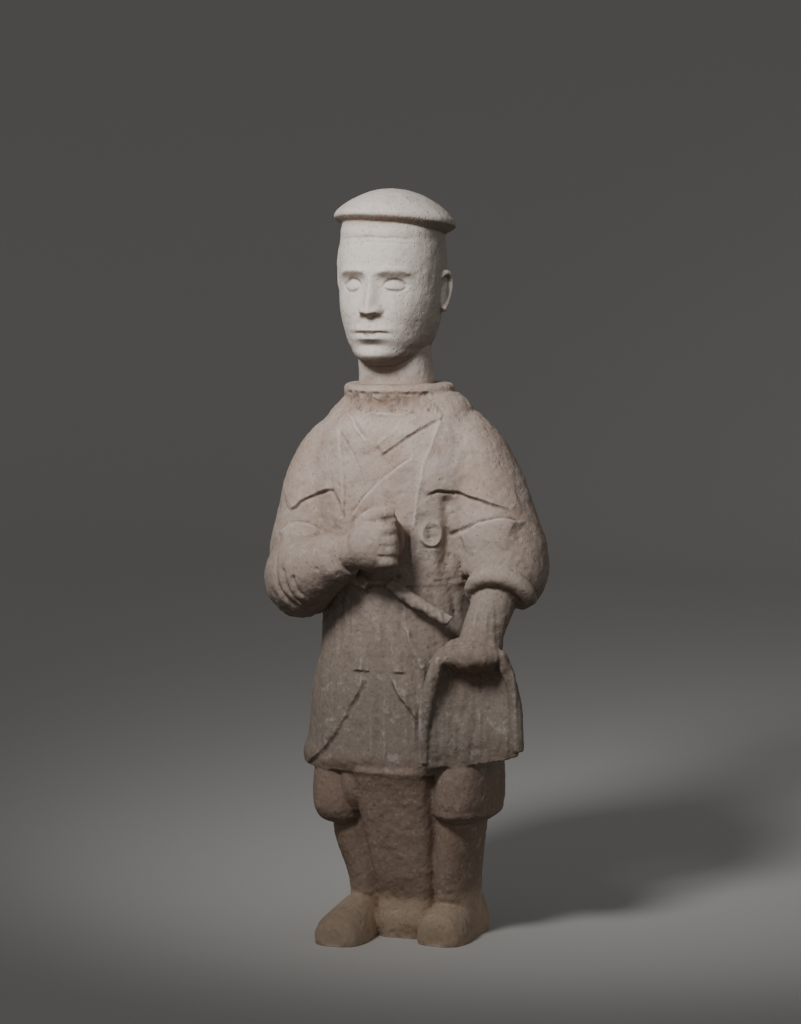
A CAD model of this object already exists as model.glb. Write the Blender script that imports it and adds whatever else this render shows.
# %% [markdown]
# # A pottery tomb figurine
# The real object is a standing labourer of low-fired earthenware, about 0.90 m tall, made to be
# buried. The potter pressed and joined rolls and slabs of clay, melted the joins with a wet hand,
# and drew the folds of the robe with a wooden tool. This lesson follows the same order: it makes
# each form as a surface worked out with numpy, presses the forms into one skin, and then draws
# the folds, cracks and pits into that skin as whole arrays.
#
# All shapes are written in millimetres, with the figure facing -Y and its left hand at +X.

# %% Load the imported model
import math

import bmesh
import bpy
import numpy as np
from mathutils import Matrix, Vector


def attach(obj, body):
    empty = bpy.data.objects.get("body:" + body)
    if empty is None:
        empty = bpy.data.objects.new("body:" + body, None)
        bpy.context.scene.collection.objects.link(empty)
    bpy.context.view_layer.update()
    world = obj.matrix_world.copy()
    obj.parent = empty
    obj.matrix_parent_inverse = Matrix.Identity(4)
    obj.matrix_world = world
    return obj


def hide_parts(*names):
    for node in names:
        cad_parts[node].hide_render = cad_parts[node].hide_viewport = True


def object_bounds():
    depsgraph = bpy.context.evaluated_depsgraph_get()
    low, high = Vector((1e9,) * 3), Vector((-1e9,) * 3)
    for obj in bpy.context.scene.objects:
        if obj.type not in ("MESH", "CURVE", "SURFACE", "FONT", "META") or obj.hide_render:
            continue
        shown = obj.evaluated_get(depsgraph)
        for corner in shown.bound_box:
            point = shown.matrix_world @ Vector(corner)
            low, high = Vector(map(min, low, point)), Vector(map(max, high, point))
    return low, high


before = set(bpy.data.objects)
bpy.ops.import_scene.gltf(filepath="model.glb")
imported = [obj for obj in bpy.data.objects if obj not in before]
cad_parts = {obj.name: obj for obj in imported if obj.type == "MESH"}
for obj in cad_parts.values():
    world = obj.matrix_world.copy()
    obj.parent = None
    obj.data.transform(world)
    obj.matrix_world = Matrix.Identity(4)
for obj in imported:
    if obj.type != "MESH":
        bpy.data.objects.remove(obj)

cad_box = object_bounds()
MM = 0.001
print("CAD box", [round(v * 1000, 1) for v in (*cad_box[0], *cad_box[1])], "mm")

# %% [markdown]
# ## The camera
# The photograph looks down a little from the height of the figure's head, and from its left side.
# A long lens gives the nearly parallel lines of a museum photograph, so it needs no shift. Its
# place is in metres, from the middle of the figure's feet.

# %% Camera
SENSOR, LENS = 36.0, 109.56
CAMERA_PLACE = (1.2773, -3.4881, 0.8492)
LOOKS_DOWN, TURNED = 5.15, 20.17

camera_data = bpy.data.cameras.new("camera")
camera_data.sensor_width = SENSOR
camera_data.lens = LENS
camera = bpy.data.objects.new("camera", camera_data)
camera.location = CAMERA_PLACE
camera.rotation_euler = (math.radians(90 - LOOKS_DOWN), 0.0, math.radians(TURNED))
bpy.context.scene.collection.objects.link(camera)
bpy.context.scene.camera = camera
print("camera", CAMERA_PLACE, "with a lens of", LENS, "mm")

# %% [markdown]
# ## Surfaces from rings
# Every form of clay here is a closed tube: rings of points, one after another, with each end
# closed on a pole. So one function can turn any form into triangles, and the forms differ only
# in the formula of their rings.

# %% Smooth rows and skins
def smooth_rows(keys, count):
    """Rows at even steps along the cubic that runs through the key rows: between two keys the
    value is the Hermite mix of both values and of their slopes. Steps are measured between the
    first three columns, which are a place."""
    keys = np.asarray(keys, float)
    place = np.concatenate([[0.0], np.cumsum(np.linalg.norm(np.diff(keys[:, :3], axis=0), axis=1))])
    slope = np.gradient(keys, place, axis=0)
    at = np.linspace(0.0, place[-1], count)
    left = np.clip(np.searchsorted(place, at, side="right") - 1, 0, len(place) - 2)
    span = (place[left + 1] - place[left])[:, None]
    t = (at - place[left])[:, None] / span
    value = keys[left] * (1 + 2 * t) * (1 - t) ** 2 + keys[left + 1] * t * t * (3 - 2 * t)
    return value + span * t * (1 - t) * (slope[left] * (1 - t) - slope[left + 1] * t)


def skin(rings):
    """Points and triangles of a closed tube through rings of shape (rows, around, 3): two
    triangles between neighbours, and a fan from the middle of each end ring."""
    rows, around, _ = rings.shape
    here = np.arange(rows * around).reshape(rows, around)
    beside = np.roll(here, -1, axis=1)
    first, last = np.full(around, rows * around), np.full(around, rows * around + 1)
    triangles = [
        np.stack([here[:-1], beside[:-1], beside[1:]], axis=-1).reshape(-1, 3),
        np.stack([here[:-1], beside[1:], here[1:]], axis=-1).reshape(-1, 3),
        np.stack([first, beside[0], here[0]], axis=-1),
        np.stack([last, here[-1], beside[-1]], axis=-1),
    ]
    points = np.concatenate([rings.reshape(-1, 3), rings[[0, -1]].mean(axis=1)])
    return points, np.concatenate(triangles)


def joined(shapes):
    """Several (points, triangles) as one, with each shape's triangles counted on."""
    starts = np.cumsum([0] + [len(points) for points, _ in shapes[:-1]])
    triangles = [faces + start for (_, faces), start in zip(shapes, starts, strict=True)]
    return np.concatenate([points for points, _ in shapes]), np.concatenate(triangles)


# %% [markdown]
# ## Five ways to shape clay
# The potter had few gestures, and each is one formula. A *stack* lays level slabs on each other,
# each a superellipse, which is a rounded box whose power says how square it is. A *limb* is a
# roll with oval sections square to its path. A *roll* is a thin sausage of clay on a soft line.
# A *ball* is pressed between the palms. A *turned* form is a profile swept round the upright axis.

# %% Stack, limb, roll, ball and turned form
def stack(keys, power=2.2, count=90, around=160, relief=None):
    """Level superellipse sections: across = |cos|^(2/power), deep = |sin|^(2/power), signs kept.
    A key is (z, centre x, centre y, half width, depth to the front, depth to the back)."""
    keys = [(0.0, 0.0, *key) for key in keys]
    _, _, z, cx, cy, half, front, back = smooth_rows(keys, count).T[:, :, None]
    angle = np.linspace(0.0, 2 * math.pi, around, endpoint=False)[None, :]
    cos, sin = np.cos(angle), np.sin(angle)
    deep = np.sign(sin) * np.abs(sin) ** (2 / power)
    x = cx + half * np.sign(cos) * np.abs(cos) ** (2 / power)
    y = cy + np.where(deep < 0, front, back) * deep
    z = z + 0 * x
    if relief:
        y = y - relief(x - cx, z) * np.clip(-4 * deep, 0, 1)
    return skin(np.stack([x, y, z], axis=-1))


def limb(keys, reference=(0.0, 1.0, 0.0), count=60, around=80):
    """Ovals square to a path. Each ring is centre + half width * cos * side + half depth * sin *
    deep, where side is across the path and the reference. A key is (x, y, z, width, depth)."""
    rows = smooth_rows(keys, count)
    centre = rows[:, :3]
    along = np.gradient(centre, axis=0)
    along /= np.linalg.norm(along, axis=1, keepdims=True)
    side = np.cross(reference, along)
    side /= np.linalg.norm(side, axis=1, keepdims=True)
    deep = np.cross(along, side)
    angle = np.linspace(0.0, 2 * math.pi, around, endpoint=False)[None, :, None]
    rings = centre[:, None] + rows[:, None, 3:4] * np.cos(angle) * side[:, None]
    return skin(rings + rows[:, None, 4:5] * np.sin(angle) * deep[:, None])


def roll(points, closed=False, around=20, cuts=4):
    """A round tube on the curve that cutting corners leads to: every cut puts new points at a
    quarter and three quarters of each span. A point is (x, y, z, radius)."""
    line = np.asarray(points, float)
    for _ in range(cuts):
        after = np.roll(line, -1, axis=0)
        pairs = np.stack([0.75 * line + 0.25 * after, 0.25 * line + 0.75 * after], axis=1)
        new = pairs.reshape(-1, 4)
        line = new if closed else np.concatenate([line[:1], new[:-2], line[-1:]])
    centre = line[:, :3]
    if closed:
        along = np.roll(centre, -1, axis=0) - np.roll(centre, 1, axis=0)
    else:
        along = np.gradient(centre, axis=0)
    along /= np.linalg.norm(along, axis=1, keepdims=True)
    spread = centre.max(axis=0) - centre.min(axis=0)
    reference = np.eye(3)[np.argmin(spread)]
    side = np.cross(reference, along)
    side /= np.linalg.norm(side, axis=1, keepdims=True)
    deep = np.cross(along, side)
    angle = np.linspace(0.0, 2 * math.pi, around, endpoint=False)[None, :, None]
    radius = line[:, None, 3:4]
    rings = centre[:, None] + radius * (np.cos(angle) * side[:, None] + np.sin(angle) * deep[:, None])
    if not closed:
        return skin(rings)
    points, triangles = skin(np.concatenate([rings, rings[:1]]))
    return points[:-2], triangles[(triangles < len(points) - 2).all(axis=1)]


def ball(centre, radii, turn=0.0):
    """A sphere pressed to three half sizes and turned about the upright axis."""
    up = np.linspace(-0.5 * math.pi, 0.5 * math.pi, 42)[1:-1, None]
    angle = np.linspace(0.0, 2 * math.pi, 64, endpoint=False)[None, :]
    x, y, z = np.cos(up) * np.cos(angle), np.cos(up) * np.sin(angle), np.sin(up) + 0 * angle
    x, y, z = x * radii[0], y * radii[1], z * radii[2]
    x, y = x * math.cos(turn) - y * math.sin(turn), x * math.sin(turn) + y * math.cos(turn)
    return skin(np.stack([x, y, z], axis=-1) + np.array(centre))


def turned(profile, centre, depth_share=1.0, lean=0.0, nod=0.0, around=160):
    """A profile of (radius, z) swept round the upright axis, pressed to an oval, and tipped: lean
    turns it about Y, and nod lifts its front."""
    profile = smooth_rows([(0.0, r, z) for r, z in profile], 80)
    angle = np.linspace(0.0, 2 * math.pi, around, endpoint=False)[None, :]
    radius, z = profile[:, 1, None], profile[:, 2, None]
    x, y, z = radius * np.cos(angle), radius * depth_share * np.sin(angle), z + 0 * angle
    x, z = x * math.cos(lean) + z * math.sin(lean), z * math.cos(lean) - x * math.sin(lean)
    y, z = y * math.cos(nod) + z * math.sin(nod), z * math.cos(nod) - y * math.sin(nod)
    return skin(np.stack([x, y, z], axis=-1) + np.array(centre))


# %% [markdown]
# ## Head, cap and collar
# The head was made apart and set into the collar, and its clay fired paler. The face is a calm
# one on the proportions of a drawing book: the eyes halfway up the head, the nose base and the
# mouth at even steps below. Its features are smooth hills added to the front of the skull, each
# a bell curve of the distance from a place.

# %% Face, head and cap
CHIN, MOUTH_LINE, NOSE_BASE, EYE_LINE = 692.0, 729.0, 750.0, 784.0
HEAD_X, HEAD_Y = -11.0, -6.0


def hill(u, v, at_u, at_v, wide, tall, height):
    """height * exp(-(du/wide)^2 - (dv/tall)^2), on both sides of the middle."""
    return height * np.exp(-((np.abs(u) - at_u) / wide) ** 2 - ((v - at_v) / tall) ** 2)


def face_relief(u, v):
    """The sum of a wedge that grows down to the nose base and of the hills of the face."""
    down = np.clip((EYE_LINE + 12 - v) / (EYE_LINE + 12 - NOSE_BASE), 0, 1)
    below = 1 / (1 + np.exp((NOSE_BASE - v) / 1.2))
    above = 1 / (1 + np.exp((v - EYE_LINE - 18) / 4))
    nose = (5 + 13 * down ** 1.3) * below * above * np.exp(-(u / (6.0 + 3 * down)) ** 2)
    return (
        nose
        + hill(u, v, 10, NOSE_BASE + 6, 5.0, 5.0, 6.5)   # wings of the nose
        + hill(u, v, 24, EYE_LINE + 18, 19, 5, 3.2)      # brows
        + hill(u, v, 26, EYE_LINE + 1, 17, 9, -8)        # sockets
        + hill(u, v, 26, EYE_LINE, 13, 6, 7.5)           # eyeballs
        + hill(u, v, 36, EYE_LINE - 26, 18, 16, 3)       # cheeks
        + hill(u, v, 0, MOUTH_LINE + 4.5, 20, 3.6, 7)    # upper lip
        + hill(u, v, 0, MOUTH_LINE - 5.5, 16, 4.2, 7.5)  # lower lip
        + hill(u, v, 0, MOUTH_LINE - 16, 17, 5, -3)      # dip above the chin
        + hill(u, v, 0, CHIN + 12, 18, 10, 5)            # chin
    )


def ear(side):
    """An ear: a pressed ball, a rim along its outer edge and a lobe."""
    x = HEAD_X + 58 * side
    rim = [(x - 2 * side, -6, 786, 3.0), (x + 3 * side, -4, 797, 3.6), (x + 7 * side, 6, 801, 3.8),
           (x + 8 * side, 16, 793, 3.6), (x + 7 * side, 17, 778, 3.4), (x + 5 * side, 10, 764, 3.6),
           (x + 3 * side, 2, 755, 4.0)]
    return [ball((x, 4, 776), (6.5, 14, 23), turn=-0.25 * side), roll(rim)]


neck = stack([
    (640, -7, -2, 50, 46, 44),
    (672, -7, -3, 45, 42, 42),
    (700, -9, -5, 44, 42, 44),
    (740, -11, -5, 44, 42, 50),
])
skull = stack([
    (CHIN - 2, HEAD_X, HEAD_Y, 22, 58, 10),
    (CHIN + 5, HEAD_X, HEAD_Y, 34, 68, 26),
    (712, HEAD_X, HEAD_Y, 45, 73, 46),
    (735, HEAD_X, HEAD_Y, 54, 75, 60),
    (760, HEAD_X, HEAD_Y, 59, 75, 70),
    (785, HEAD_X, HEAD_Y, 61, 74, 76),
    (812, HEAD_X, HEAD_Y, 62, 75, 78),
    (838, HEAD_X, HEAD_Y, 60, 71, 76),
    (856, HEAD_X, HEAD_Y, 56, 66, 70),
    (868, HEAD_X, HEAD_Y, 40, 46, 50),
], count=200, around=320, relief=face_relief)
cap = turned([
    (0, 36.5), (14, 35.5), (28, 32), (41, 26.5), (52, 20), (61, 13.5), (68, 7), (72.5, 1),
    (72.5, -3.5), (68, -7.5), (62, -10.5), (54, -12), (0, -12),
], (-8.5, -4, 863), depth_share=1.1, lean=math.radians(2.0), nod=math.radians(7.0))
headband = stack([
    (838, HEAD_X, HEAD_Y, 57, 68, 73),
    (842, HEAD_X, HEAD_Y, 59.0, 70.0, 75.5),
    (862, HEAD_X, HEAD_Y, 57, 67.5, 73),
])
head_forms = [neck, skull, *ear(-1), *ear(1), cap, headband]
print(len(head_forms), "forms for the head")

# %% [markdown]
# ## Robe, sleeves and collar
# The robe is hollow in the real figure; only its outside matters here. Each sleeve hangs from
# the shoulder, swells at the elbow, and the right one crosses to the fist at the chest. The left
# one ends in a rolled cuff with a bare forearm below.

# %% Robe and arms
robe = stack([
    (204, 1, 0, 123, 84, 80),
    (216, 1, 0, 125, 88, 83),
    (240, 2, 0, 120, 88, 81),
    (300, 2, 0, 113, 87, 78),
    (346, 2, 0, 102, 84, 74),
    (390, 0, 0, 97, 82, 72),
    (430, 0, 0, 96, 82, 72),
    (480, 0, 0, 104, 84, 78),
    (530, 0, 0, 112, 86, 82),
    (575, 0, 0, 114, 84, 80),
    (605, -1, 0, 104, 78, 74),
    (630, 0, 0, 91, 68, 64),
    (646, 3, -2, 79, 58, 54),
    (657, 2, -3, 66, 50, 48),
], count=240, around=280)
collar = turned([
    (40, 24), (56, 24.5), (62, 24), (66, 21), (67, 16), (66, 8), (66, 0), (66.5, -7), (60, -13),
    (40, -14),
], (-3.5, -3, 643.5), depth_share=0.94)
right_arm = [
    # The sleeve down to the elbow, the forearm across the belly, and the wrist
    limb([
        (-56, 2, 618, 26, 38),
        (-82, 2, 590, 38, 52),
        (-103, 0, 548, 43, 58),
        (-111, -6, 500, 45, 60),
        (-114, -18, 455, 47, 58),
        (-112, -30, 427, 42, 48),
        (-107, -34, 405, 22, 26),
    ], count=90, around=120),
    limb([
        (-118, -14, 440, 34, 36),
        (-110, -52, 436, 46, 50),
        (-84, -88, 445, 38, 43),
        (-56, -104, 458, 31, 34),
        (-34, -112, 468, 27, 28),
        (-29, -114, 470, 23, 24),
    ], reference=(0.0, 0.0, 1.0), count=90, around=100),
    limb([
        (-40, -110, 470, 18, 20),
        (-10, -122, 477, 19, 22),
    ], reference=(0.0, 0.0, 1.0)),
]
left_arm = [
    # The sleeve, its rolled cuff, and the bare forearm
    limb([
        (56, 2, 622, 30, 38),
        (82, 2, 594, 38, 52),
        (106, 0, 552, 42, 56),
        (121, -6, 505, 47, 57),
        (133, -14, 462, 52, 57),
        (137, -22, 432, 47, 52),
        (132, -28, 410, 30, 36),
    ], count=90, around=120),
    roll([
        (141 + 37 * math.cos(a), -49 - 21 * math.sin(a), 417 + 29 * math.sin(a), r)
        for a, r in zip(np.linspace(-0.1, 3.4, 10), (8, 10, 11.5, 12, 12, 11.5, 11, 10, 8, 5), strict=True)
    ]),
    limb([
        (138, -34, 452, 27, 26),
        (131, -49, 412, 26, 25),
        (123, -62, 378, 25, 22),
        (120, -70, 356, 28, 21),
    ]),
]
robe_forms = [robe, collar, *right_arm, *left_arm]
print(len(robe_forms), "forms for the robe, its collar and the arms")

# %% [markdown]
# ## Hands
# The fist is a few balls pressed together, with four short rolls for the bent fingers and a longer
# one for the thumb that lies on top. The hindmost ball joins it to the robe, as a web of clay that
# keeps it from breaking off in the fire. The left hand comes down over the rim of the basket.

# %% Fist and left hand
FINGERS, FINGER_STEP = 4, 12.5

fist = [
    ball((8, -125, 483), (32, 25, 32)),
    ball((18, -126, 484), (23, 20, 31)),
    ball((27, -122, 513), (11, 9, 9)),
    ball((13, -102, 487), (25, 26, 31)),
]
for finger in range(FINGERS):
    z = 503 - FINGER_STEP * finger
    reach = 4 * math.sin(math.pi * (finger + 0.5) / FINGERS) - 7.5
    fist.append(roll([
        (18, -133, z, 9),
        (29 + reach, -136, z, 8.5),
        (36 + reach, -132, z - 1, 8),
        (38 + reach, -123, z - 2, 7.5),
        (30 + reach, -114, z - 2, 8),
    ]))
fist.append(roll([(-8, -124, 504, 11), (8, -128, 517, 11), (23, -126, 522, 10.5), (33, -120, 521, 9)]))

left_hand = [ball((115, -82, 352), (38, 27, 19))]
for finger in range(FINGERS):
    x, y = 94 + 15 * finger, -101 + 4 * finger
    left_hand.append(roll([
        (x, y + 18, 362, 9),
        (x, y + 5, 359, 9),
        (x, y, 349, 8.5),
        (x, y + 6, 341, 7),
    ]))
left_hand.append(roll([(102, -78, 364, 9.5), (86, -91, 355, 8.5), (72, -98, 340, 7)]))
print(len(fist), "forms for the fist and", len(left_hand), "for the left hand")

# %% [markdown]
# ## Basket
# The left hand holds a scoop-shaped basket by its top, mouth down, with the hollow to the front.
# Its floor is a sheet over (across, up): it deepens towards the top as a soft step, and comes up
# to the rim at both sides as a high power of the distance from the middle. A prop of clay behind
# it fills the gap to the robe, so that the thin sheet bears firing.

# %% Basket
BASKET_TURN, BASKET_LEAN, BASKET_PITCH = math.radians(19), math.radians(4.5), math.radians(8)
BASKET_TALL, BASKET_TOP, BASKET_MOUTH = 136.0, 34.0, 56.0
BASKET_X, BASKET_Y, BASKET_Z = 117, -89, 287
BASKET_WALL, RIM_RADIUS, CORNER_LIFT = 8.0, 7.0, 8


def basket_spot(u, w, deep):
    """A place on the basket: u across it, w up it, and deep behind its mouth's plane."""
    back = deep - w * math.sin(BASKET_PITCH)
    x = BASKET_X + u * math.cos(BASKET_TURN) - back * math.sin(BASKET_TURN)
    y = BASKET_Y + u * math.sin(BASKET_TURN) + back * math.cos(BASKET_TURN)
    z = BASKET_Z + w * math.cos(BASKET_PITCH) + u * math.sin(BASKET_LEAN)
    return np.stack(np.broadcast_arrays(x, y, z), axis=-1)


def basket_half(t):
    """Half of the basket's width at a share t of its height."""
    return BASKET_TOP + (BASKET_MOUTH - BASKET_TOP) * (1 - t ** 3.2)


def basket_floor():
    """The floor's front sheet, and the same sheet set back by its wall, as one closed slab."""
    s, t = np.linspace(-1, 1, 81)[None, :], np.linspace(0, 1, 90)[:, None]
    hollow = np.clip((t - 0.15) / 0.65, 0, 1)
    deep = (4 + 17 * hollow * hollow * (3 - 2 * hollow)) * (1 - np.abs(s) ** 3) * (1 - t ** 9)
    u = s * basket_half(t)
    w = BASKET_TALL * (t - 0.5) + CORNER_LIFT * (1 - t) ** 4 * np.clip(s, 0, 1) ** 3
    front, back = basket_spot(u, w, deep), basket_spot(u, w, deep + BASKET_WALL)
    return skin(np.concatenate([front, back[:, ::-1]], axis=1))


def basket_rim():
    """A roll up one side, over the top and down the other side."""
    up = np.linspace(0.06, 1, 9)
    half, w = basket_half(up), BASKET_TALL * (up - 0.5)
    left = basket_spot(-half, w, 4.0)
    right = basket_spot(half, w + CORNER_LIFT * (1 - up) ** 4, 4.0)
    line = np.concatenate([left, right[::-1]])
    return roll(np.concatenate([line, np.full((len(line), 1), RIM_RADIUS)], axis=1))


prop = limb([
    (80, -50, 218, 24, 30),
    (86, -54, 250, 28, 30),
    (92, -56, 300, 28, 26),
    (96, -56, 340, 20, 18),
])
basket_forms = [basket_floor(), basket_rim(), prop]
print(len(basket_forms), "forms for the basket")

# %% [markdown]
# ## Belt, knife, stick and ribbons
# The belt, the rolled stick stuck through it, the gathered edge under the fist and the two ribbon
# ends were small rolls and strips pressed on while the clay was soft. The ring of the knife is so
# flat that it is drawn later, with the tool.

# %% Waist things
def level_ring(centre, radii, radius, count=24):
    """A closed roll on a level oval."""
    angle = np.linspace(0, 2 * math.pi, count, endpoint=False)
    place = np.stack([radii[0] * np.cos(angle), radii[1] * np.sin(angle), 0 * angle], axis=-1)
    place = place + np.array(centre)
    return roll(np.concatenate([place, np.full((count, 1), radius)], axis=1), closed=True)


RIBBONS = ((-20, 17), (24, 13))
waist_forms = [
    level_ring((0, -3.5, 434), (94, 77), 5.5),
    roll([(-62, -74, 438, 6), (-42, -82, 438, 7), (-24, -86, 435, 7.5), (-13, -86, 430, 6.5)]),
    roll([(14, -86, 433, 7.5), (50, -88, 413, 7.5), (88, -82, 391, 7)]),
]
for x, half in RIBBONS:
    waist_forms.append(limb([
        (x + 4, -69, 430, half - 3, 8),
        (x, -71, 380, half, 9),
        (x, -75, 345, half, 10),
        (x, -78, 327, half - 1, 10),
    ]))
print(len(waist_forms), "forms for the waist")

# %% [markdown]
# ## Legs and shoes
# Trouser legs rolled below the knee, bare shins and soft round-toed shoes. The tapering web of
# clay between the legs carries the weight of the hollow body, so the thin shins can't snap.

# %% Legs, web and shoes
def shoe(heel_x, heel_y, toe, ankle_half, toe_half, tall):
    """A loft from the heel to the toe, cut later by the ground. Each of its eight sections has a
    share of the length, of the width at the ankle or the toe, and of the height."""
    shares = np.array([0.0, 0.07, 0.3, 0.5, 0.7, 0.88, 0.97, 1.0])
    halves = np.array([0.66, 0.92, 1.0, 1.05, 0, 0, 0, 0]) * ankle_half
    halves += np.array([0, 0, 0, 0, 1.0, 0.95, 0.74, 0.5]) * toe_half
    tops = np.array([0.62, 0.85, 0.98, 0.92, 0.76, 0.65, 0.52, 0.38]) * tall
    x = heel_x + (toe[0] - heel_x) * shares
    y = heel_y + (toe[1] - heel_y) * shares
    keys = np.stack([x, y, np.full(8, 9.0), halves, tops - 7], axis=-1)
    return limb(keys, reference=(0.0, 0.0, 1.0), count=80, around=100)


leg_forms = [
    # The rolled end of the right trouser leg, the fold beside it, and the left one
    stack([
        (136, -62, -12, 22, 44, 30),
        (142, -64, -12, 30, 56, 38),
        (152, -66, -12, 35, 63, 44),
        (168, -67, -12, 37, 65, 47),
        (190, -67, -12, 37, 60, 48),
        (215, -67, -12, 34, 54, 48),
    ]),
    limb([
        (-40, -54, 156, 9, 9),
        (-40, -60, 180, 16, 16),
        (-40, -60, 212, 17, 17),
    ]),
    stack([
        (147, 88, -8, 28, 56, 34),
        (152, 89, -8, 35, 68, 42),
        (164, 90, -8, 38, 74, 46),
        (185, 91, -8, 38, 76, 48),
        (215, 92, -8, 36, 75, 48),
        (234, 93, -8, 32, 66, 46),
    ], power=2.3),
    # The shins
    limb([
        (-62, -14, 190, 27, 38),
        (-54, -16, 125, 25, 38),
        (-38, -12, 66, 24, 36),
        (-39, -6, 20, 24, 32),
    ]),
    limb([
        (86, -12, 190, 28, 48),
        (79, -12, 128, 28, 49),
        (73, -8, 66, 27, 45),
        (73, 0, 20, 26, 36),
    ]),
    # The web between the legs, the shoes, and the thicker tongue of the web in front
    stack([
        (-4, 14, 0, 48, 30, 34),
        (60, 14, 0, 52, 40, 34),
        (120, 12, 0, 64, 50, 38),
        (180, 12, 0, 78, 60, 44),
        (206, 12, 0, 80, 62, 46),
    ], power=4.0),
    shoe(-43, 38, (-45, -121), 26, 31, 51),
    shoe(77, 44, (69, -80), 25, 30, 58),
    stack([
        (-4, 17, 0, 36, 50, 42),
        (24, 17, 0, 37, 56, 40),
        (38, 17, 0, 36, 54, 40),
        (48, 18, 0, 36, 52.5, 40),
        (62, 18, 0, 38, 56, 40),
        (120, 14, 0, 44, 68, 44),
        (200, 8, 0, 51, 86, 50),
        (210, 8, 0, 51, 89, 52),
        (216, 8, 0, 49, 83, 52),
    ], power=5.0),
]
print(len(leg_forms), "forms for the legs and shoes")

# %% [markdown]
# ## Pressing the forms into one skin
# On the real figure no join of clay shows: the potter wiped them away with a wet hand. Here,
# Blender's voxel Remesh keeps only the outside of overlapping closed forms, and smoothing then
# melts the joins. Both work on any number of forms, whatever way they cross.

# %% Meshes, press and melt
def clay_mesh(name, points, triangles):
    """A mesh object from whole arrays: points in millimetres and triangles of indices."""
    mesh = bpy.data.meshes.new(name)
    mesh.vertices.add(len(points))
    mesh.vertices.foreach_set("co", (points * MM).astype(np.float32).ravel())
    mesh.loops.add(3 * len(triangles))
    mesh.loops.foreach_set("vertex_index", triangles.astype(np.int32).ravel())
    mesh.polygons.add(len(triangles))
    mesh.polygons.foreach_set("loop_start", np.arange(0, 3 * len(triangles), 3, dtype=np.int32))
    mesh.update(calc_edges=True)
    piece = bpy.data.objects.new(name, mesh)
    bpy.context.scene.collection.objects.link(piece)
    return piece


def take_modifiers(piece):
    """Takes the modifiers' result into the piece's mesh."""
    graph = bpy.context.evaluated_depsgraph_get()
    mesh = bpy.data.meshes.new_from_object(piece.evaluated_get(graph))
    old, piece.data = piece.data, mesh
    piece.modifiers.clear()
    bpy.data.meshes.remove(old)


def points_of(mesh):
    """The mesh's points in millimetres."""
    spots = np.empty(3 * len(mesh.vertices), np.float32)
    mesh.vertices.foreach_get("co", spots)
    return spots.reshape(-1, 3).astype(float) / MM


def normals_of(mesh):
    """The unit normals at the mesh's points."""
    normals = np.empty(3 * len(mesh.vertices), np.float32)
    mesh.vertex_normals.foreach_get("vector", normals)
    return normals.reshape(-1, 3).astype(float)


def melt(piece, rounds, weights=None):
    """Laplacian smoothing: each round moves every point halfway to the mean of its neighbours, or
    less by its weight, which a vertex group holds in ten levels."""
    smooth = piece.modifiers.new("melt", "SMOOTH")
    smooth.factor = 0.5
    smooth.iterations = rounds
    if weights is not None:
        group = piece.vertex_groups.new(name="melt")
        levels = np.rint(10 * weights).astype(int)
        for level in range(1, 11):
            group.add(np.flatnonzero(levels == level).tolist(), level / 10, "REPLACE")
        smooth.vertex_group = "melt"
    take_modifiers(piece)
    piece.vertex_groups.clear()


def press(name, shapes, grid):
    """All shapes pressed into one skin on a grid of that many millimetres."""
    piece = clay_mesh(name, *joined(shapes))
    remesh = piece.modifiers.new("press", "REMESH")
    remesh.mode = "VOXEL"
    remesh.voxel_size = grid * MM
    take_modifiers(piece)
    print(name, len(piece.data.vertices), "points after pressing")
    return piece


# %% [markdown]
# ## Two skins
# Head and body are pressed apart, as they were made apart, so that the head can have the finer
# grid that a face needs. A vertex group melts the shoulders more than the rest, because there the
# sleeves flow out of the robe without an edge.

# %% Press all forms
HEAD_GRID, BODY_GRID = 1.2, 1.6
HEAD_ROUNDS, BODY_ROUNDS, SHOULDER_ROUNDS = 8, 7, 140

head = press("head_and_cap", head_forms, HEAD_GRID)
melt(head, HEAD_ROUNDS)
body = press("body", robe_forms + fist + left_hand + basket_forms + waist_forms + leg_forms, BODY_GRID)
_, y, z = points_of(body.data).T
above_elbows, below_collar, behind_chest = (z - 455) / 40, (632 - z) / 12, (y + 82) / 14
melt(body, SHOULDER_ROUNDS, np.clip(np.minimum.reduce([above_elbows, below_collar, behind_chest]), 0, 1))
melt(body, BODY_ROUNDS)

# %% [markdown]
# ## Unevenness from a formula
# Nothing made by hand is even, and the unevenness has to be the same each time this script runs.
# So it comes from a formula of the place alone. Lumps are value noise: a fixed random number at
# every corner of a grid of cubes, mixed smoothly in between. Pits are jittered cells: some cubes
# hold one round hole at a random place. The next step lets the tool's strokes wander with it.

# %% Noise and pits
def lattice(corner, seed):
    """A fixed random number from 0 to 1 for every whole-number corner: its three numbers are
    mixed by large odd factors and by shifts."""
    x, y, z = corner.astype(np.int64).astype(np.uint32).T
    mixed = x * np.uint32(374761393) + y * np.uint32(668265263) + z * np.uint32(2246822519)
    mixed = mixed + np.full_like(mixed, seed) * np.uint32(3266489917)
    mixed = (mixed ^ (mixed >> np.uint32(15))) * np.uint32(2246822519)
    mixed = (mixed ^ (mixed >> np.uint32(13))) * np.uint32(3266489917)
    return (mixed ^ (mixed >> np.uint32(16))) / 4294967295.0


CORNERS = np.stack(np.meshgrid((0, 1), (0, 1), (0, 1), indexing="ij"), axis=-1).reshape(-1, 3)
NEIGHBOURS = np.stack(np.meshgrid((-1, 0, 1), (-1, 0, 1), (-1, 0, 1), indexing="ij"), -1).reshape(-1, 3)


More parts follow.
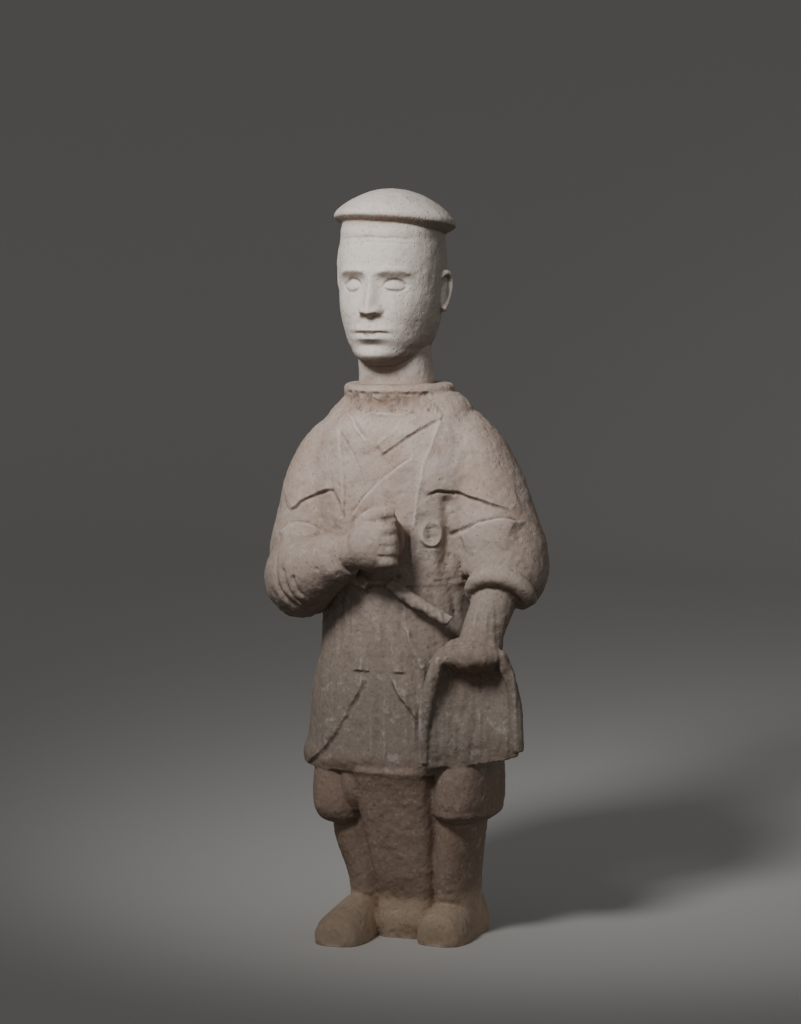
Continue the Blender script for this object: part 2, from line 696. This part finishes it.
def lumps(points, size, seed):
    """Value noise from -1 to 1: the eight corners of a cube weighted by 3t^2 - 2t^3."""
    place = points / size
    corner = np.floor(place)
    t = place - corner
    t = t * t * (3 - 2 * t)
    total = np.zeros(len(points))
    for step in CORNERS:
        total += np.where(step, t, 1 - t).prod(axis=1) * lattice(corner + step, seed)
    return 2 * total - 1


def pits(points, cell, share, radius, seed):
    """From 0 to 1, how deep a point is in a pit: (1 - (d/r)^2)^2 around a random place in a share
    of the cubes."""
    base = np.floor(points / cell)
    deepest = np.zeros(len(points))
    for step in NEIGHBOURS:
        corner = base + step
        offset = np.stack([lattice(corner, seed + k) for k in range(3)], axis=-1)
        there = lattice(corner, seed + 3) < share
        reach = radius * (0.5 + lattice(corner, seed + 4))
        apart = ((points - (corner + offset) * cell) ** 2).sum(axis=1) / reach ** 2
        deepest = np.maximum(deepest, there * np.clip(1 - apart, 0, 1) ** 2)
    return deepest


# %% [markdown]
# ## Drawing with the tool
# The folds were drawn into the damp clay with the edge of a wooden tool. A stroke is a line in the
# front view of the figure, and it moves the clay along its normals by a profile of the distance
# across the line. A *groove* is a bell curve pressed in, a *ridge* is one drawn up, and an *edge*
# is the border of a layer of cloth: it rises fast on one side, keeps its height, and dies away
# slowly. Strokes cost nothing but points that are there already.

# %% Strokes
def stroke_profile(kind, across, height, width):
    """Groove and ridge: height * exp(-(d/width)^2). Edge: a logistic step times a wide bell, less
    a thin groove at its foot."""
    if kind == "groove":
        return -height * np.exp(-((across / width) ** 2))
    if kind == "ridge":
        return height * np.exp(-((across / width) ** 2))
    rise = 1 / (1 + np.exp(np.clip(-4 * across / width, -30, 30)))
    lifted = height * rise * np.exp(-((np.clip(across, 0, None) / (9 * width)) ** 2))
    return lifted - 0.3 * height * np.exp(-((across / (0.7 * width) + 1.0) ** 2))


WANDER, WANDER_SIZE, PRESSURE_SIZE = 1.2, 13, 18


def draw(points, normals, strokes):
    """How far every point moves along its normal. A stroke is (kind, side, height, width, nearest
    and farthest depth, line). Each point takes its distance from the nearest span of the line:
    positive on the line's left, times the side. The stroke fades at both ends, and wherever the
    skin turns away from the front or leaves the depths."""
    moved = np.zeros(len(points))
    wander = WANDER * np.stack([lumps(points, WANDER_SIZE, seed) for seed in (51, 52)], axis=-1)
    pressure = 0.85 + 0.35 * lumps(points, PRESSURE_SIZE, 53)
    for kind, side, height, width, (nearest, farthest), line in strokes:
        line = smooth_rows([(a, b, 0.0) for a, b in line], 8 * len(line))[:, :2]
        spots, depth, forward = points[:, [0, 2]] + wander, points[:, 1], -normals[:, 1]
        margin = 20 * width if kind == "edge" else 3 * width
        near = ((spots > line.min(axis=0) - margin) & (spots < line.max(axis=0) + margin)).all(axis=1)
        near &= (depth > nearest) & (depth < farthest) & (forward > 0.1)
        near = np.flatnonzero(near)
        spots, depth, forward = spots[near], depth[near], forward[near]
        best, across, share = np.full(len(near), 1e9), np.zeros(len(near)), np.zeros(len(near))
        lengths = np.linalg.norm(np.diff(line, axis=0), axis=1)
        run = np.concatenate([[0.0], np.cumsum(lengths)])
        for start, end, length, before in zip(line[:-1], line[1:], lengths, run, strict=False):
            along = (end - start) / length
            offset = spots - start
            place = np.clip(offset @ along, 0, length)
            distance = np.linalg.norm(offset - place[:, None] * along, axis=1)
            turn = along[0] * offset[:, 1] - along[1] * offset[:, 0]
            closer = distance < best
            best = np.where(closer, distance, best)
            across = np.where(closer, np.where(turn < 0, -distance, distance), across)
            share = np.where(closer, (before + place) / run[-1], share)
        at_end = 0.0 if kind == "edge" else 0.2
        fade = np.clip(9 * np.minimum(share, 1 - share) + at_end, 0, 1)
        front = np.clip(3 * forward - 0.3, 0, 1)
        inside = np.clip((depth - nearest) / 6, 0, 1) * np.clip((farthest - depth) / 6, 0, 1)
        moved[near] += stroke_profile(kind, side * across, height, width) * fade * front * inside
    return moved * pressure


# %% [markdown]
# ## The lines of the robe
# A labourer's dress in layers: a round inner neck, two collar bands that cross to the wearer's
# right, an overlap below them, and an open outer robe whose flaps fall apart in a peak. Each
# group of strokes keeps to a range of depths, so that a line on the robe leaves the fist alone.

# %% Strokes of the robe
CHEST, SKIRT, SLEEVE, ELBOW, FIST = (-100, -45), (-96, -40), (-90, -25), (-150, -70), (-160, -105)
LAPEL = [(64, 640), (63, 618), (57, 590), (50, 560), (45, 528), (40, 490), (38, 445)]
RING = [(62 + 10.5 * math.cos(a), 494 + 13 * math.sin(a)) for a in np.linspace(1.6, 7.9, 14)]
ROBE_STROKES = [
    # Inner robe: a round shirt neck, two crossing collar bands, and the overlap to the right
    ("ridge", 1, 3.0, 2.6, CHEST, [(-45, 641), (-24, 635), (1, 633), (23, 634), (39, 640)]),
    ("ridge", 1, 3.4, 2.8, CHEST, [(-50, 638), (-33, 620), (-19, 605), (-6, 593), (-6, 592)]),
    ("ridge", 1, 2.8, 2.8, CHEST, [(42, 636), (22, 621), (7, 608), (-5, 595)]),
    ("ridge", 1, 1.8, 3.2, CHEST, LAPEL),
    ("edge", -1, 3.4, 2.4, CHEST, [(-52, 638), (-34, 621), (-20, 606), (-7, 593)]),
    ("edge", 1, 3.0, 2.2, CHEST, [(44, 634), (22, 619), (7, 606), (-4, 594)]),
    ("edge", 1, 1.6, 2.2, CHEST, [(-58, 621), (-41, 599), (-25, 576), (-16, 552)]),
    ("edge", -1, 2.8, 2.4, CHEST, [(70, 633), (44, 615), (22, 599), (0, 583)]),
    ("edge", 1, 3.5, 2.4, CHEST,
     [(44, 586), (26, 575), (14, 565), (-1, 553), (-16, 537), (-29, 521), (-40, 505)]),
    # Outer robe: its two straight front edges
    ("edge", -1, 2.4, 2.2, CHEST, [(-55, 630), (-52, 600), (-46, 557), (-46, 527), (-49, 495)]),
    ("edge", 1, 2.6, 2.8, CHEST, LAPEL),
    # The knife at the belt: its ring, and the hilt below
    ("ridge", 1, 2.8, 3.0, CHEST, RING),
    ("groove", 1, 2.6, 4.0, CHEST, [(60, 501), (61, 488)]),
    ("ridge", 1, 2.6, 6.0, CHEST, [(63, 478), (65, 458), (67, 436)]),
    # Folds where the sleeves leave the shoulders
    ("edge", 1, 4.0, 2.4, SLEEVE, [(-122, 514), (-104, 529), (-85, 537), (-60, 544)]),
    ("groove", 1, 3.0, 3.2, SLEEVE, [(-63, 543), (-54, 528), (-48, 508)]),
    ("edge", -1, 3.5, 2.4, SLEEVE,
     [(-138, 487), (-123, 497), (-108, 501), (-94, 499), (-80, 488)]),
    ("edge", 1, 3.6, 2.4, SLEEVE,
     [(54, 536), (67, 545), (82, 544), (100, 539), (125, 532), (145, 524), (160, 514)]),
    ("groove", 1, 3.0, 2.6, SLEEVE, [(82, 490), (92, 496), (106, 502)]),
    ("edge", -1, 5.5, 2.6, SLEEVE,
     [(88, 494), (105, 501), (120, 508), (136, 512), (150, 512), (166, 507)]),
    ("groove", 1, 6.0, 6.5, SLEEVE, [(79, 541), (80, 518), (80, 494), (77, 470), (73, 448)]),
    # Folds gathered at the right elbow
    ("groove", 1, 4.0, 3.6, ELBOW, [(-124, 462), (-122, 436), (-112, 414), (-96, 402)]),
    ("groove", 1, 3.5, 3.4, ELBOW, [(-110, 452), (-107, 430), (-97, 414), (-82, 406)]),
    ("groove", 1, 2.5, 3.2, ELBOW, [(-94, 444), (-91, 428), (-82, 418)]),
    # Creases of the thumb and the bent fingers
    ("groove", 1, 1.4, 2.0, FIST, [(4, 507), (16, 508), (30, 508)]),
    ("groove", 1, 0.9, 1.8, FIST, [(24, 497), (30, 497), (38, 496)]),
    ("groove", 1, 0.9, 1.8, FIST, [(24, 485), (31, 484), (39, 483)]),
    ("groove", 1, 0.9, 1.8, FIST, [(22, 472), (30, 471), (37, 471)]),
    # Skirt: the outer robe's flaps fall open in a peak, with soft folds above
    ("edge", -1, 3.4, 3.4, SKIRT,
     [(-14, 325), (-22, 308), (-34, 288), (-48, 264), (-66, 238), (-86, 219), (-112, 203)]),
    ("edge", 1, 3.2, 3.2, SKIRT,
     [(15, 326), (22, 309), (32, 294), (45, 277), (56, 252), (60, 224)]),
    ("groove", 1, 3.0, 3.6, SKIRT, [(62, 336), (55, 300), (51, 260), (50, 222)]),
    ("ridge", 1, 2.5, 4.0, SKIRT, [(34, 384), (42, 354), (54, 332)]),
    ("groove", 1, 1.8, 4.0, SKIRT, [(78, 440), (80, 418), (84, 398), (90, 380)]),
]

# %% [markdown]
# ## The lines of the head
# The tool also cut the line between the lips, the lids, the wings of the nose, the lower edges of
# the headband and the border of the hair before each ear. These lines follow the same book
# proportions as the face, and all but the middle ones are drawn once and mirrored.

# %% Strokes of the head
HAIR, FACE = (-70, -10), (-110, -45)


def both_sides(line):
    """A line given outwards from the middle of the face, for its right and its left half."""
    return [[(HEAD_X + side * u, v) for u, v in line] for side in (-1, 1)]


HEAD_STROKES = [
    # Between the lips, the lower edges of the headband, the lip's furrow, and the hair's borders
    ("groove", 1, 1.7, 1.6, FACE,
     [(HEAD_X - 21, MOUTH_LINE - 0.6), (HEAD_X - 8, MOUTH_LINE), (HEAD_X, MOUTH_LINE - 1),
      (HEAD_X + 8, MOUTH_LINE), (HEAD_X + 21, MOUTH_LINE - 0.6)]),
    ("groove", 1, 0.9, 1.8, FACE, [(HEAD_X - 46, 840), (HEAD_X, 842), (HEAD_X + 46, 840)]),
    ("groove", 1, 0.7, 1.8, FACE, [(HEAD_X - 30, 833), (HEAD_X, 836), (HEAD_X + 44, 834)]),
    ("groove", 1, 1.2, 2.2, FACE, [(HEAD_X, NOSE_BASE - 4), (HEAD_X, MOUTH_LINE + 8)]),
    ("edge", 1, 2.5, 2.2, HAIR, [(50, 836), (51, 808), (48, 780)]),
    ("edge", -1, 2.5, 2.2, HAIR, [(-66, 836), (-67, 808), (-64, 780)]),
]
# Upper lid, lower lid, wing of the nose and nostril
for height, width, line in (
    (2.0, 1.7, [(12, EYE_LINE - 1), (17, EYE_LINE + 5), (26, EYE_LINE + 8), (35, EYE_LINE + 5),
                (41, EYE_LINE + 1)]),
    (1.5, 1.6, [(12, EYE_LINE - 1), (19, EYE_LINE - 5), (28, EYE_LINE - 6), (36, EYE_LINE - 4),
                (41, EYE_LINE + 1)]),
    (1.3, 1.8, [(13, NOSE_BASE + 13), (17, NOSE_BASE + 7), (15, NOSE_BASE)]),
    (1.8, 2.4, [(4, NOSE_BASE - 0.5), (9, NOSE_BASE - 0.5)]),
):
    HEAD_STROKES += [("groove", 1, height, width, FACE, half) for half in both_sides(line)]
for line in both_sides([(8, EYE_LINE + 17), (20, EYE_LINE + 21), (34, EYE_LINE + 20), (44, EYE_LINE + 14)]):
    HEAD_STROKES.append(("ridge", 1, 1.2, 3.2, FACE, line))


def shift(piece, by):
    """Moves every point along its normal by so many millimetres."""
    points = points_of(piece.data) + normals_of(piece.data) * by[:, None]
    piece.data.vertices.foreach_set("co", (points * MM).astype(np.float32).ravel())
    piece.data.update()


for piece, strokes in ((head, HEAD_STROKES), (body, ROBE_STROKES)):
    shift(piece, draw(points_of(piece.data), normals_of(piece.data), strokes))
    print("drew", len(strokes), "strokes on", piece.name)

# %% [markdown]
# ## The touch of the hand, and of the ground
# Clay that was patted into place has broad lumps a few centimetres wide and finger-sized dents.
# Small pits show where grit fell out or salts of the soil ate the surface. The front of the
# collar has lost its skin, and a brush or comb left upright strokes on the skirt. All of this is
# a millimetre or two of real shape, which catches light as a texture alone doesn't.

# %% Marks of hand and ground
def hand_marks(points):
    """Lumps in four sizes less pits in two, in millimetres outwards."""
    uneven = 0.9 * lumps(points, 38, 1) + 0.5 * lumps(points, 15, 2) + 0.45 * lumps(points, 6.5, 3)
    uneven = uneven + 0.2 * lumps(points, 3.3, 4)
    holes = 1.1 * pits(points, 16, 0.4, 3.4, 11) + 0.7 * pits(points, 8, 0.3, 2.2, 21)
    return uneven - holes


def broken_collar(points):
    """The front of the collar has lost its skin: a band of rough, flaked clay."""
    x, y, z = points.T
    band = np.clip((z - 632) / 5, 0, 1) * np.clip((661 - z) / 4, 0, 1) * np.clip((-35 - y) / 10, 0, 1)
    flakes = np.abs(lumps(points, 9, 31)) + 0.6 * np.abs(lumps(points, 4.5, 32))
    return -band * (0.8 + 2.4 * flakes)


def comb(points):
    """Upright strokes on the front of the skirt, fine and broad: noise drawn out along Z."""
    x, y, z = points.T
    cloth = np.clip((z - 215) / 20, 0, 1) * np.clip((430 - z) / 20, 0, 1) * np.clip((-50 - y) / 15, 0, 1)
    return cloth * (0.9 * lumps(points * (1, 1, 0.08), 4.4, 41) + 1.2 * lumps(points * (1, 1, 0.05), 9, 42))


HEAD_SHARE = 0.5
points = points_of(body.data)
shift(body, hand_marks(points) + broken_collar(points) + comb(points))
shift(head, HEAD_SHARE * hand_marks(points_of(head.data)))
print("marked", len(points), "points of the body")

# %% [markdown]
# ## Where the soil stayed
# Brown soil clings in the hollows, and the high places are rubbed pale. The depth of a hollow is
# measured: the skin is smoothed on a copy, and a point that lies below the smooth one is in a
# hollow. A few rounds of smoothing find pits and grooves, and many find the shelter of a fold.
# The named stains of this figure are bells of the distance from a place.

# %% Hollows and stains
FINE_ROUNDS, BROAD_ROUNDS = 10, 60
STAINS = [
    # place, reach, strength
    ((-3, -62, 648), (80, 34, 11), 1.0),
    ((-8, -72, 863), (72, 24, 6), 0.9),
    ((-8, -44, 676), (60, 40, 15), 0.8),
    ((-66, -66, 178), (40, 50, 34), 0.45),
    ((35, -106, 486), (8, 16, 28), 0.9),
    ((116, -70, 340), (50, 40, 28), 1.0),
    ((130, -70, 325), (30, 40, 16), 0.5),
    ((-58, -40, 110), (22, 60, 34), 0.7),
    ((92, -55, 120), (22, 40, 40), 0.45),
    ((160, -60, 232), (18, 40, 12), 0.8),
    ((-45, -100, 20), (50, 50, 24), 0.5),
    ((70, -60, 12), (50, 60, 18), 0.5),
    ((20, -50, 60), (36, 40, 20), 0.5),
    ((-66, -60, 165), (26, 40, 14), 0.5),
    ((20, -86, 190), (44, 30, 12), 0.4),
]


def hollows(piece, rounds):
    """How far every point lies below the smoothed skin, in millimetres."""
    copy = bpy.data.objects.new("smoothed", piece.data.copy())
    bpy.context.scene.collection.objects.link(copy)
    melt(copy, rounds)
    below = ((points_of(copy.data) - points_of(piece.data)) * normals_of(piece.data)).sum(axis=1)
    smoothed = copy.data
    bpy.data.objects.remove(copy)
    bpy.data.meshes.remove(smoothed)
    return below


def mark(mesh, name, values):
    """Keeps one value a point as an attribute of the mesh."""
    attribute = mesh.attributes.new(name, "FLOAT", "POINT")
    attribute.data.foreach_set("value", values.astype(np.float32))


def stains(points):
    """The strongest stain: strength * exp(-|distance / reach|^2), with a reach for each axis."""
    total = np.zeros(len(points))
    for place, reach, strength in STAINS:
        bell = np.exp(-(((points - np.array(place)) / np.array(reach)) ** 2).sum(axis=1))
        total = np.maximum(total, strength * bell)
    return total


# %% [markdown]
# ## Cutting into pieces
# The figure was fired as one piece. Its skin has too many triangles for one mesh of the library,
# so it is cut level: the body at three heights and the head under the cap. A cut piece takes its
# normals from the whole skin, and so no seam shows. The soles are cut flat by the ground, and
# everything moves so that the middle of the figure's box is over the origin, as in the CAD. Four
# attributes go with each piece for the clay's colour: hollow, shelter, under (how far the skin
# faces down) and stain.

# %% Cut
# Heights and places in millimetres. Nothing of the head reaches down to BELOW_NECK.
BOX_MIDDLE = np.array([12.817, -33.029, 0.0])
GROUND, BODY_CUTS = 0.0, (222.0, 379.0, 500.0)
BELOW_NECK, HEAD_CUTS = 600.0, (843.0,)
INSET = 0.05
BOX = np.array([[*corner] for corner in cad_box]) / MM
BOX += np.array([[INSET], [-INSET]]) * (1, 1, 0)


def level_cuts(piece, ground, heights):
    """Cuts the piece off below the ground, closes it, and cuts edges into it at the heights."""
    shaper = bmesh.new()
    shaper.from_mesh(piece.data)
    bmesh.ops.triangulate(shaper, faces=shaper.faces)
    for height in (ground, *heights):
        parts = [*shaper.verts, *shaper.edges, *shaper.faces]
        cut = bmesh.ops.bisect_plane(shaper, geom=parts, dist=0.02 * MM, plane_co=(0, 0, height * MM),
                                     plane_no=(0, 0, 1), clear_inner=height == ground)
        if height == ground:
            rim = [item for item in cut["geom_cut"] if isinstance(item, bmesh.types.BMEdge)]
            bmesh.ops.holes_fill(shaper, edges=rim)
        bmesh.ops.triangulate(shaper, faces=shaper.faces)
    shaper.to_mesh(piece.data)
    shaper.free()


def slabs(piece, heights, names):
    """The piece as closed slabs between the heights, each with the whole skin's normals, hollows
    and stains."""
    mesh = piece.data
    points, normals = points_of(mesh), normals_of(mesh)
    fine, broad = hollows(piece, FINE_ROUNDS), hollows(piece, BROAD_ROUNDS)
    under = np.clip(-normals[:, 2], 0, 1)
    marks = {"hollow": fine, "shelter": broad, "under": under, "stain": stains(points)}
    corners = np.empty(3 * len(mesh.polygons), np.int32)
    mesh.loops.foreach_get("vertex_index", corners)
    corners = corners.reshape(-1, 3)
    middle = points[corners, 2].mean(axis=1)
    made = []
    edges = [-np.inf, *heights, np.inf]
    for name, low, high in zip(names, edges[:-1], edges[1:], strict=True):
        used, own = np.unique(corners[(middle > low) & (middle < high)], return_inverse=True)
        inside = np.clip(points[used] - BOX_MIDDLE, *BOX)
        slab = clay_mesh(name, inside, own.reshape(-1, 3))
        shaper = bmesh.new()
        shaper.from_mesh(slab.data)
        bmesh.ops.holes_fill(shaper, edges=[edge for edge in shaper.edges if edge.is_boundary])
        bmesh.ops.triangulate(shaper, faces=shaper.faces)
        shaper.to_mesh(slab.data)
        shaper.free()
        slab.data.shade_smooth()
        slab.data.normals_split_custom_set_from_vertices(normals[used])
        for key, values in marks.items():
            mark(slab.data, key, values[used])
        made.append(slab)
        print(name, len(slab.data.polygons), "triangles")
    bpy.data.objects.remove(piece)
    return made


level_cuts(head, BELOW_NECK, HEAD_CUTS)
level_cuts(body, GROUND, BODY_CUTS)
pieces = slabs(body, BODY_CUTS, ("legs_and_hem", "skirt_and_basket", "waist_and_sleeves", "chest"))
pieces += slabs(head, HEAD_CUTS, ("head", "cap"))

# %% [markdown]
# ## Low-fired earthenware
# Unglazed clay fired below 1000 degrees stays open and chalky: it has almost no shine, and its
# colour is never quite even. Such a surface is built up by laying colours over each other by
# amounts that run from 0 to 1, so the helpers do only that.

# %% Nodes
clay = bpy.data.materials.new("low_fired_earthenware")
clay.use_nodes = True
tree = clay.node_tree
tree.nodes.clear()


def linear(hex_colour):
    """An sRGB hex colour as linear RGBA."""
    value = np.array([int(hex_colour[i:i + 2], 16) for i in (1, 3, 5)]) / 255
    value = np.where(value <= 0.04045, value / 12.92, ((value + 0.055) / 1.055) ** 2.4)
    return (*value.tolist(), 1.0)


def add(kind, settings=None, **inputs):
    """Adds a node, sets its settings, and sets or links its inputs. An input's name is written
    with _ for a space, or as a number after i."""
    made = tree.nodes.new(kind)
    for name, value in (settings or {}).items():
        setattr(made, name, value)
    for name, value in inputs.items():
        key = int(name[1:]) if name[0] == "i" and name[1:].isdigit() else name.replace("_", " ")
        socket = made.inputs[key]
        if isinstance(value, bpy.types.NodeSocket):
            tree.links.new(value, socket)
        else:
            socket.default_value = value
    return made


def share(value, low, high):
    """A value from low to high as a share from 0 to 1, with soft ends."""
    settings = {"interpolation_type": "SMOOTHSTEP"}
    return add("ShaderNodeMapRange", settings, Value=value, From_Min=low, From_Max=high).outputs["Result"]


def times(a, b):
    """The product of two values."""
    return add("ShaderNodeMath", {"operation": "MULTIPLY"}, i0=a, i1=b).outputs[0]


def plus(a, b):
    """The sum of two values."""
    return add("ShaderNodeMath", {"operation": "ADD"}, i0=a, i1=b).outputs[0]


def over(below, hex_colour, amount):
    """A colour laid over another by an amount."""
    settings = {"data_type": "RGBA"}
    return add("ShaderNodeMix", settings, i0=amount, i6=below, i7=linear(hex_colour)).outputs[2]


place = add("ShaderNodeTexCoord").outputs["Object"]


def noise(size, detail, roughness=0.5):
    """Cloudy noise with patterns of a real size in metres."""
    return add("ShaderNodeTexNoise", Vector=place, Scale=1 / size, Detail=detail,
               Roughness=roughness).outputs["Fac"]


# %% [markdown]
# ## Colours of the clay
# The body runs from buff to a greyish pink, and the skirt is duskier. The head fired paler. The
# legs stood in damp soil and took its brown, and the shoes are tan. High places are rubbed to
# chalk, and soil stays in hollows, in the shelter of folds, on undersides, in speck-like holes
# and where the stains are. Only the grain and the pinholes, finer than the mesh, are bump.

# %% Clay material
BUFF, PINK, DUSK, PALE, TAN, SOIL, BROWN, EARTH, CHALK = (
    "#C5B4A8", "#BAA496", "#8E8176", "#DACEC4", "#C8B198", "#9C8778", "#665548", "#94725A", "#DCD4CC")
SPECK, PINHOLE_DEPTH = 0.006, 0.0011

height = add("ShaderNodeSeparateXYZ", Vector=place).outputs["Z"]
hollow, shelter, under, stain = (
    add("ShaderNodeAttribute", {"attribute_name": name}).outputs["Fac"]
    for name in ("hollow", "shelter", "under", "stain"))
blotch, patch = noise(0.055, 4.0), noise(0.016, 5.0, 0.6)
mottle, grain = noise(0.004, 4.0, 0.65), noise(0.0012, 3.0, 0.6)
specks = add("ShaderNodeTexVoronoi", Vector=place, Scale=1 / SPECK).outputs["Distance"]

# The body, the skirt, the legs, the shoes and the head, each from a height in metres
colour = over(linear(BUFF), PINK, share(blotch, 0.35, 0.65))
colour = over(colour, DUSK, times(share(plus(height, times(blotch, 0.1)), 0.6, 0.36), 0.85))
colour = over(colour, SOIL, share(plus(height, times(patch, 0.05)), 0.262, 0.228))
colour = over(colour, TAN, times(share(plus(height, times(patch, 0.03)), 0.085, 0.055), 0.85))
colour = over(colour, PALE, share(height, 0.666, 0.676))
# Patches, rubbed high places, and soil in what is hollow, sheltered or faces down
colour = over(colour, CHALK, times(share(patch, 0.56, 0.72), 0.35))
colour = over(colour, BROWN, times(share(patch, 0.5, 0.3), 0.18))
colour = over(colour, CHALK, times(share(hollow, -0.1, -0.6), 0.45))
colour = over(colour, BROWN, times(share(hollow, 0.1, 0.9), 0.7))
colour = over(colour, BROWN, times(share(shelter, 0.5, 4.0), 0.55))
colour = over(colour, BROWN, times(share(under, 0.05, 0.65), 0.72))
# Stains, specks and mottling
colour = over(colour, EARTH, times(times(stain, share(patch, 0.35, 0.65)), 0.8))
colour = over(colour, BROWN, times(stain, 0.4))
colour = over(colour, BROWN, times(share(specks, 0.16, 0.06), 0.5))
colour = over(colour, CHALK, times(share(mottle, 0.5, 0.75), 0.16))
colour = over(colour, BROWN, times(share(mottle, 0.5, 0.25), 0.22))

depth = plus(plus(times(mottle, 0.55), times(grain, 0.35)), times(share(specks, 0.05, 0.25), 0.5))
bump = add("ShaderNodeBump", Strength=0.75, Distance=PINHOLE_DEPTH, Height=depth).outputs["Normal"]
shader = add("ShaderNodeBsdfPrincipled", Base_Color=colour, Roughness=0.94, IOR=1.45, Normal=bump)
add("ShaderNodeOutputMaterial", Surface=shader.outputs["BSDF"])

for piece in pieces:
    piece.data.materials.append(clay)
    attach(piece, "root")
    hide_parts("tomb_figurine")
print(len(pieces), "pieces in a clay of", len(tree.nodes), "nodes")

# %% [markdown]
# ## Floor and light
# A pale paper floor sweeps up behind the figure. One soft light from the upper left, close to the
# head, gives the photograph's fall from a bright face to dim feet, because light weakens with the
# square of the distance. A weak even light fills in.

# %% Studio
SHEET_DEEP, SHEET_WIDE, SHEET_BEND, SHEET_WALL = 8000, 14000, 1500, 5000
KEY_PLACE, KEY_TARGET = (-0.19, -1.2, 1.45), (0.0, 0.0, 0.78)
KEY_SIZE, KEY_POWER, KEY_SPREAD, FILL = 0.4, 2.7, 60, 0.125


def sweep():
    """A sheet that is flat, then bends up on a quarter circle, then stands: depth and height are
    functions of the way along it."""
    way = np.linspace(0, 1, 90)
    turn = np.clip((way - 0.5) / 0.3, 0, 1) * 0.5 * math.pi
    flat = SHEET_DEEP * (np.clip(way / 0.5, 0, 1) - 0.5)
    y = flat + SHEET_BEND * np.sin(turn)
    z = SHEET_BEND * (1 - np.cos(turn)) + SHEET_WALL * np.clip((way - 0.8) / 0.2, 0, 1)
    x = np.linspace(-SHEET_WIDE / 2, SHEET_WIDE / 2, 3)
    return np.stack(np.broadcast_arrays(x[None, :], y[:, None], z[:, None]), axis=-1)


sheet = sweep()
here = np.arange(sheet.shape[0] * 3).reshape(-1, 3)
quads = np.stack([here[:-1, :-1], here[:-1, 1:], here[1:, 1:], here[1:, :-1]], axis=-1).reshape(-1, 4)
halves = np.concatenate([quads[:, [0, 1, 2]], quads[:, [0, 2, 3]]])
floor = clay_mesh("floor", sheet.reshape(-1, 3), halves)
floor.data.shade_smooth()
paper = bpy.data.materials.new("pale_paper")
paper.use_nodes = True
paper.node_tree.nodes["Principled BSDF"].inputs["Base Color"].default_value = linear("#D8D6D2")
paper.node_tree.nodes["Principled BSDF"].inputs["Roughness"].default_value = 0.95
floor.data.materials.append(paper)


def softbox(name, location, target, size, power, spread):
    """A round area light in metres, watts and degrees, turned to a target."""
    light = bpy.data.lights.new(name, "AREA")
    light.shape = "DISK"
    light.size = size
    light.energy = power
    light.spread = math.radians(spread)
    lamp = bpy.data.objects.new(name, light)
    lamp.location = location
    lamp.rotation_euler = (Vector(target) - Vector(location)).to_track_quat("-Z", "Y").to_euler()
    bpy.context.scene.collection.objects.link(lamp)


softbox("key", KEY_PLACE, KEY_TARGET, KEY_SIZE, KEY_POWER, KEY_SPREAD)
world = bpy.data.worlds.new("studio")
world.use_nodes = True
world.node_tree.nodes["Background"].inputs["Color"].default_value = (1, 1, 1, 1)
world.node_tree.nodes["Background"].inputs["Strength"].default_value = FILL
bpy.context.scene.world = world
print("key light of", KEY_POWER, "W over a floor", SHEET_WIDE, "mm wide")
